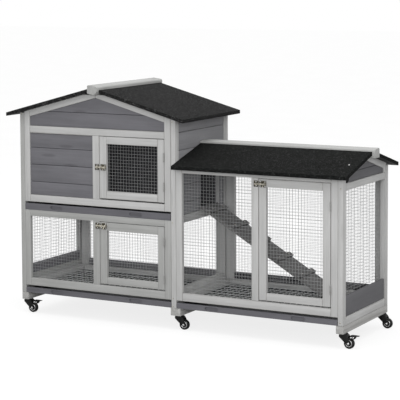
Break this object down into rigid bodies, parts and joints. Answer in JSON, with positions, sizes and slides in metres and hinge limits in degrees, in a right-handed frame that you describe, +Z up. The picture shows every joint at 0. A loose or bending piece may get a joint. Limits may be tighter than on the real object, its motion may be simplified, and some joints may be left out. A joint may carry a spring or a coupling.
{
  "type": "rabbit hutch",
  "caption": "Two-storey gabled wooden rabbit hutch with a wire run beside it, hinged doors, pull-out trays, an inner ramp and swivel casters.",
  "frame": {"origin": "middle of the whole hutch's base, on the ground under the wheels", "axes": "+X along the front from the house to the run, +Y from the front to the back, +Z up"},
  "size_m": [1.524, 0.517, 0.9446],
  "materials": {
    "whitewashed_wood": "planed softwood with a thin whitewash stain",
    "grey_stained_wood": "grey stained boards",
    "house_roof_felt": "plywood under fine mineral felt",
    "run_roof_felt": "plywood under dark mineral felt",
    "tray_wood": "grey stained wood",
    "ramp_wood": "grey stained wood, rough",
    "galvanised_wire": "galvanised welded wire",
    "antique_zinc": "dark antique zinc plate",
    "black_plastic": "moulded, satin",
    "wheel_plastic": "moulded, satin"
  },
  "bodies": {
    "hutch": {"end_kick_board": "grey_stained_wood", "house_back_frame": "whitewashed_wood", "house_back_mesh": "galvanised_wire", "house_floor": "whitewashed_wood", "house_front_boards": "grey_stained_wood", "house_front_mesh": "galvanised_wire", "house_left_boards": "grey_stained_wood", "house_left_frame": "whitewashed_wood", "house_left_mesh": "galvanised_wire", "house_lower_door_lower_hinge": "antique_zinc", "house_lower_door_upper_hinge": "antique_zinc", "house_lower_front_frame": "whitewashed_wood", "house_partition_boards": "grey_stained_wood", "house_partition_frame": "whitewashed_wood", "house_ridge_board": "whitewashed_wood", "house_roof_left": "house_roof_felt", "house_roof_right": "house_roof_felt", "house_upper_door_lower_hinge": "antique_zinc", "house_upper_door_upper_hinge": "antique_zinc", "house_upper_front_frame": "whitewashed_wood", "run_back_frame": "whitewashed_wood", "run_back_mesh": "galvanised_wire", "run_door_lower_hinge": "antique_zinc", "run_door_upper_hinge": "antique_zinc", "run_end_frame": "whitewashed_wood", "run_end_mesh": "galvanised_wire", "run_floor": "whitewashed_wood", "run_front_frame": "whitewashed_wood", "run_front_mesh": "galvanised_wire", "run_gable_boards": "grey_stained_wood", "run_ridge_board": "whitewashed_wood", "run_roof_back": "run_roof_felt", "run_roof_front": "run_roof_felt"},
    "house_upper_door": {"house_upper_door": "whitewashed_wood", "house_upper_latch": "antique_zinc"},
    "house_upper_bolt": {"house_upper_bolt": "antique_zinc"},
    "house_lower_door": {"house_lower_door": "whitewashed_wood", "house_lower_latch": "antique_zinc"},
    "house_lower_bolt": {"house_lower_bolt": "antique_zinc"},
    "run_door": {"run_door": "whitewashed_wood", "run_latch": "antique_zinc"},
    "run_bolt": {"run_bolt": "antique_zinc"},
    "upper_tray": {"upper_tray": "tray_wood"},
    "lower_house_tray": {"lower_house_tray": "tray_wood"},
    "run_tray": {"run_tray": "tray_wood"},
    "ramp": {"ramp": "ramp_wood"},
    "front_left_caster": {"front_left_caster_fork": "black_plastic"},
    "front_left_caster_wheel": {"front_left_caster_wheel": "wheel_plastic"},
    "front_left_caster_brake_pedal": {"front_left_caster_brake_pedal": "black_plastic"},
    "front_middle_caster": {"front_middle_caster_fork": "black_plastic"},
    "front_middle_caster_wheel": {"front_middle_caster_wheel": "wheel_plastic"},
    "front_right_caster": {"front_right_caster_fork": "black_plastic"},
    "front_right_caster_wheel": {"front_right_caster_wheel": "wheel_plastic"},
    "front_right_caster_brake_pedal": {"front_right_caster_brake_pedal": "black_plastic"},
    "back_left_caster": {"back_left_caster_fork": "black_plastic"},
    "back_left_caster_wheel": {"back_left_caster_wheel": "wheel_plastic"},
    "back_middle_caster": {"back_middle_caster_fork": "black_plastic"},
    "back_middle_caster_wheel": {"back_middle_caster_wheel": "wheel_plastic"},
    "back_right_caster": {"back_right_caster_fork": "black_plastic"},
    "back_right_caster_wheel": {"back_right_caster_wheel": "wheel_plastic"}
  },
  "joints": [
    {"name": "house_upper_door_swing", "type": "hinge", "parent": "hutch", "child": "house_upper_door", "pos_m": [-0.0402, -0.223, 0.618], "axis": [0, 0, 1], "range_deg": [0, 120]},
    {"name": "house_upper_bolt_slide", "type": "slide", "parent": "house_upper_door", "child": "house_upper_bolt", "axis": [1, 0, 0], "range_m": [0, 0.017]},
    {"name": "house_lower_door_swing", "type": "hinge", "parent": "hutch", "child": "house_lower_door", "pos_m": [-0.0402, -0.223, 0.2764], "axis": [0, 0, 1], "range_deg": [0, 160]},
    {"name": "house_lower_bolt_slide", "type": "slide", "parent": "house_lower_door", "child": "house_lower_bolt", "axis": [1, 0, 0], "range_m": [0, 0.017]},
    {"name": "run_door_swing", "type": "hinge", "parent": "hutch", "child": "run_door", "pos_m": [0.6598, -0.223, 0.3828], "axis": [0, 0, 1], "range_deg": [0, 160]},
    {"name": "run_bolt_slide", "type": "slide", "parent": "run_door", "child": "run_bolt", "axis": [1, 0, 0], "range_m": [0, 0.017]},
    {"name": "upper_tray_slide", "type": "slide", "parent": "hutch", "child": "upper_tray", "axis": [0, -1, 0], "range_m": [0, 0.36]},
    {"name": "lower_house_tray_slide", "type": "slide", "parent": "hutch", "child": "lower_house_tray", "axis": [0, -1, 0], "range_m": [0, 0.36]},
    {"name": "run_tray_slide", "type": "slide", "parent": "hutch", "child": "run_tray", "axis": [0, -1, 0], "range_m": [0, 0.36]},
    {"name": "ramp_lift", "type": "hinge", "parent": "hutch", "child": "ramp", "pos_m": [0.018, 0.0455, 0.4534], "axis": [0, -1, 0], "range_deg": [0, 40]},
    {"name": "front_left_caster_swivel", "type": "hinge", "parent": "hutch", "child": "front_left_caster", "pos_m": [-0.697, -0.1895, 0.057], "axis": [0, 0, 1], "continuous": true},
    {"name": "front_left_caster_spin", "type": "hinge", "parent": "front_left_caster", "child": "front_left_caster_wheel", "pos_m": [-0.676, -0.1895, 0.02], "axis": [0, 1, 0], "continuous": true},
    {"name": "front_left_caster_brake_lift", "type": "hinge", "parent": "front_left_caster", "child": "front_left_caster_brake_pedal", "pos_m": [-0.6695, -0.1895, 0.0498], "axis": [0, -1, 0], "range_deg": [0, 8]},
    {"name": "front_middle_caster_swivel", "type": "hinge", "parent": "hutch", "child": "front_middle_caster", "pos_m": [0.01, -0.1895, 0.057], "axis": [0, 0, 1], "continuous": true},
    {"name": "front_middle_caster_spin", "type": "hinge", "parent": "front_middle_caster", "child": "front_middle_caster_wheel", "pos_m": [0.031, -0.1895, 0.02], "axis": [0, 1, 0], "continuous": true},
    {"name": "front_right_caster_swivel", "type": "hinge", "parent": "hutch", "child": "front_right_caster", "pos_m": [0.7015, -0.1895, 0.057], "axis": [0, 0, 1], "continuous": true},
    {"name": "front_right_caster_spin", "type": "hinge", "parent": "front_right_caster", "child": "front_right_caster_wheel", "pos_m": [0.7225, -0.1895, 0.02], "axis": [0, 1, 0], "continuous": true},
    {"name": "front_right_caster_brake_lift", "type": "hinge", "parent": "front_right_caster", "child": "front_right_caster_brake_pedal", "pos_m": [0.729, -0.1895, 0.0498], "axis": [0, -1, 0], "range_deg": [0, 8]},
    {"name": "back_left_caster_swivel", "type": "hinge", "parent": "hutch", "child": "back_left_caster", "pos_m": [-0.697, 0.1905, 0.057], "axis": [0, 0, 1], "continuous": true},
    {"name": "back_left_caster_spin", "type": "hinge", "parent": "back_left_caster", "child": "back_left_caster_wheel", "pos_m": [-0.676, 0.1905, 0.02], "axis": [0, 1, 0], "continuous": true},
    {"name": "back_middle_caster_swivel", "type": "hinge", "parent": "hutch", "child": "back_middle_caster", "pos_m": [0.01, 0.1905, 0.057], "axis": [0, 0, 1], "continuous": true},
    {"name": "back_middle_caster_spin", "type": "hinge", "parent": "back_middle_caster", "child": "back_middle_caster_wheel", "pos_m": [0.031, 0.1905, 0.02], "axis": [0, 1, 0], "continuous": true},
    {"name": "back_right_caster_swivel", "type": "hinge", "parent": "hutch", "child": "back_right_caster", "pos_m": [0.7015, 0.1905, 0.057], "axis": [0, 0, 1], "continuous": true},
    {"name": "back_right_caster_spin", "type": "hinge", "parent": "back_right_caster", "child": "back_right_caster_wheel", "pos_m": [0.7225, 0.1905, 0.02], "axis": [0, 1, 0], "continuous": true}
  ]
}
